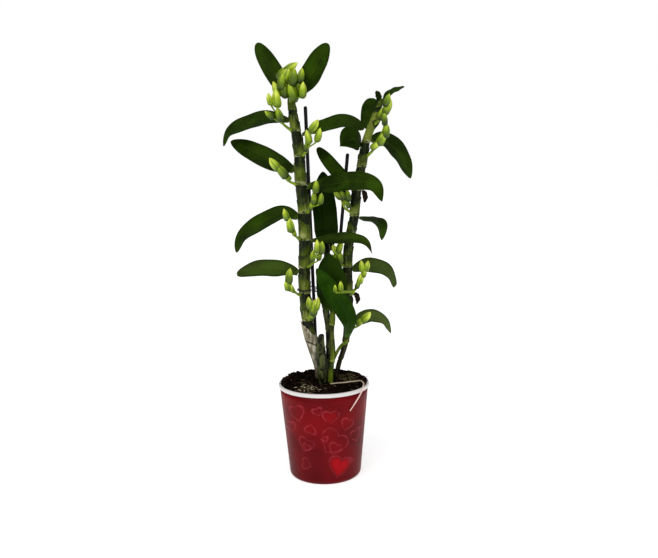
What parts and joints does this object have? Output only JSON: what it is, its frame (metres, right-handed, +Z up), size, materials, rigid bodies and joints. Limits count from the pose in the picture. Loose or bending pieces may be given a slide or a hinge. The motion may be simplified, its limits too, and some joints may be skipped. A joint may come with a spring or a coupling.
{
  "type": "potted orchid",
  "caption": "Potted orchid in bud: ringed leafy canes with lime bud clusters, tied to thin stakes, in bark mix in a white-rimmed pot with a red heart-print sleeve.",
  "frame": {"origin": "centre of the pot's flat base", "axes": "+Z up along the canes, front of the plant towards -Y, +X to the right seen from the front"},
  "size_m": [0.2491, 0.12, 0.5656],
  "materials": {
    "pot_white": "smooth moulded, satin",
    "sleeve_red": null,
    "bark_mix": "rough, damp bark chips and fibre",
    "root_pale": "matt, spongy",
    "cane_green": "ribbed and ringed, satin",
    "cane_old": "dry, matt",
    "shoot_green": "smooth, satin",
    "dry_sheath": "papery, matt",
    "leaf_green": "leathery with a waxy sheen",
    "leaf_young": "leathery with a waxy sheen",
    "bud_lime": "waxy, satin",
    "stake_black": "satin",
    "tie_black": "matt, plastic-coated wire"
  },
  "bodies": {
    "root": {"pot": "pot_white", "pot_sleeve": "sleeve_red", "potting_mix": "bark_mix", "rhizome": "root_pale", "aerial_root": "root_pale", "cane_left": "cane_green", "cane_right": "cane_green", "cane_middle": "cane_old", "cane_stub": "cane_old", "cane_left_sheath": "dry_sheath", "young_shoot": "shoot_green", "stake_left": "stake_black", "stake_right": "stake_black", "cane_tie": "tie_black", "left_leaf_1": "leaf_green", "left_leaf_2": "leaf_green", "left_leaf_3": "leaf_green", "left_leaf_4": "leaf_green", "left_leaf_5": "leaf_green", "left_leaf_6": "leaf_green", "left_leaf_7": "leaf_green", "left_leaf_8": "leaf_green", "left_leaf_9": "leaf_green", "middle_leaf_1": "leaf_green", "shoot_leaf_1": "leaf_young", "shoot_leaf_2": "leaf_young", "right_leaf_1": "leaf_green", "right_leaf_2": "leaf_green", "right_leaf_3": "leaf_green", "right_leaf_4": "leaf_green", "right_leaf_5": "leaf_green", "right_leaf_6": "leaf_green", "right_leaf_7": "leaf_green", "right_leaf_8": "leaf_green", "right_leaf_9": "leaf_green", "right_bract_1": "dry_sheath", "right_bract_2": "dry_sheath", "left_buds_1": "bud_lime", "left_buds_2": "bud_lime", "left_buds_3": "bud_lime", "left_buds_4": "bud_lime", "left_buds_5": "bud_lime", "left_buds_6": "bud_lime", "left_buds_7": "bud_lime", "left_buds_8": "bud_lime", "left_buds_9": "bud_lime", "right_buds_1": "bud_lime", "right_buds_2": "bud_lime", "right_buds_3": "bud_lime", "right_buds_4": "bud_lime", "right_buds_5": "bud_lime", "right_buds_6": "bud_lime", "right_buds_7": "bud_lime"}
  },
  "joints": []
}
